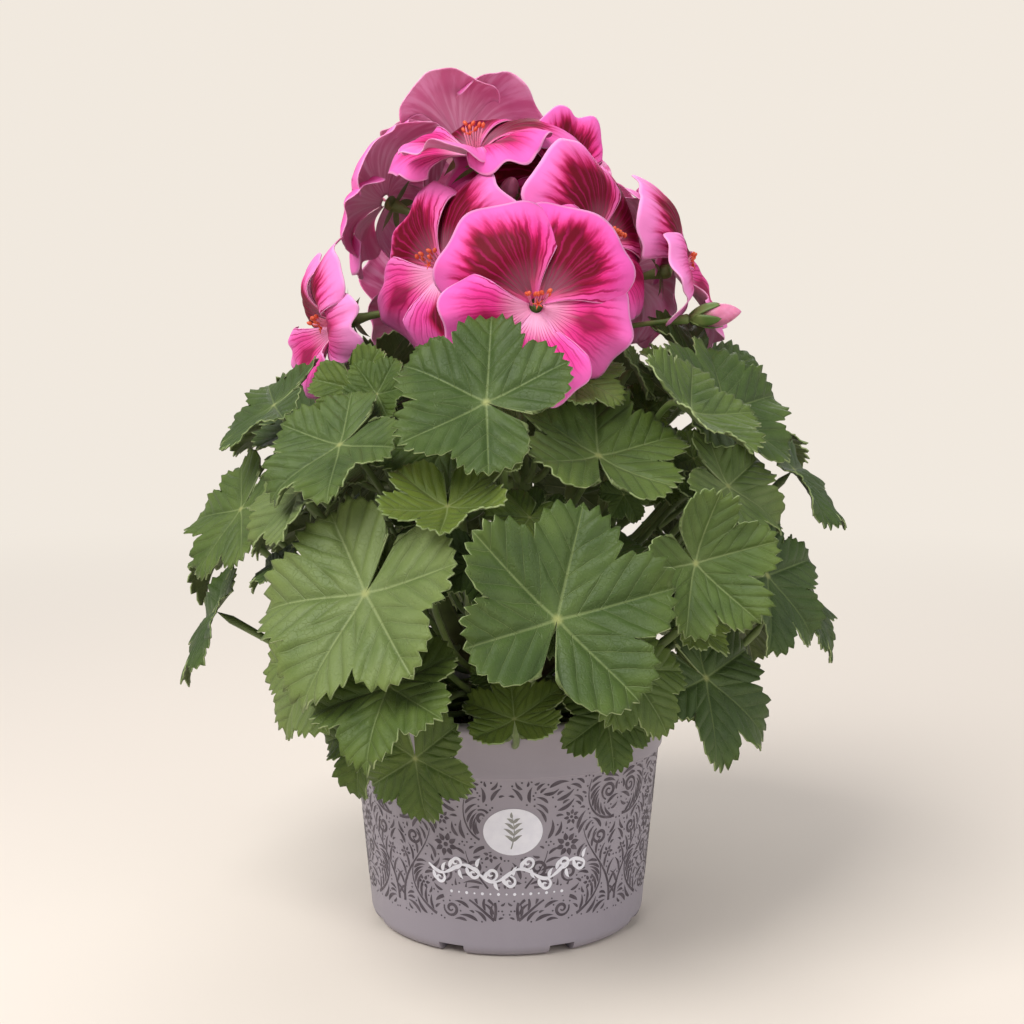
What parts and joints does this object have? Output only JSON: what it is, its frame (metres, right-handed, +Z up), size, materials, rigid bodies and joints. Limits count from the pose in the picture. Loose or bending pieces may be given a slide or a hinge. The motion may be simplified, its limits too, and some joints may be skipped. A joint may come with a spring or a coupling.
{
  "type": "potted regal pelargonium",
  "caption": "Bushy regal pelargonium with toothed leaves and two-tone pink flower heads, growing in a small tapered plastic pot.",
  "frame": {"origin": "on the surface that the pot stands on, under the middle of the plant's bounding box, which is within 2 mm of the pot's axis", "axes": "+Z up along the pot's axis; the plant's front, as pictured, looks along -Y"},
  "size_m": [0.2218, 0.2318, 0.2814],
  "materials": {
    "pot_plastic": "mauve-grey injection-moulded polypropylene with a darker printed scroll pattern",
    "compost": "dark fibrous peat compost",
    "stem": "soft green stem with fine hairs",
    "leaf": "matt green leaf with fine hairs, sunken veins and a pale toothed edge",
    "petal": "satin pink petal with a dark red blotch, fine veins and a pale edge",
    "bud": "furled pink petals"
  },
  "bodies": {
    "root": {"pot": "pot_plastic", "potting_soil": "compost", "stems": "stem", "head_front": "stem", "head_top": "stem", "head_right": "stem", "leaf_front_large_left": "leaf", "leaf_front_large_right": "leaf", "leaf_front_low": "leaf", "leaf_front_middle": "leaf", "leaf_rim_left": "leaf", "leaf_rim_front": "leaf", "leaf_rim_right": "leaf", "leaf_skirt_right": "leaf", "leaf_skirt_left": "leaf", "leaf_skirt_far_left": "leaf", "leaf_skirt_far_right": "leaf", "leaf_side_left": "leaf", "leaf_side_left_light": "leaf", "leaf_shoulder_left": "leaf", "leaf_shoulder_left_dark": "leaf", "leaf_shoulder_far_left": "leaf", "leaf_top_left": "leaf", "leaf_top_front_left": "leaf", "leaf_top_front_right": "leaf", "leaf_top_right": "leaf", "leaf_shoulder_right": "leaf", "leaf_shoulder_far_right": "leaf", "leaf_side_right_light": "leaf", "leaf_shoulder_front_right": "leaf", "leaf_side_right_folded": "leaf", "leaf_side_right": "leaf", "leaf_skirt_side_right": "leaf", "leaf_back_low_right": "leaf", "leaf_back_low_middle_right": "leaf", "leaf_back_low_middle_left": "leaf", "leaf_back_low_left": "leaf", "leaf_back_side_left": "leaf", "leaf_back_left": "leaf", "leaf_back_middle": "leaf", "leaf_back_right": "leaf", "leaf_back_side_right": "leaf", "leaf_back_shoulder_right": "leaf", "leaf_back_shoulder_left": "leaf", "leaf_back_shoulder_far_left": "leaf", "leaf_back_top": "leaf", "flower_front": "petal", "flower_left": "petal", "flower_right": "petal", "flower_top": "petal", "flower_top_right": "petal", "flower_low_left": "petal", "flower_back_left": "petal", "flower_back_top": "petal", "flower_side_right": "petal", "flower_back": "petal", "flower_back_right": "petal", "flower_back_low": "petal", "bud_right": "bud", "bud_top": "bud"}
  },
  "joints": []
}
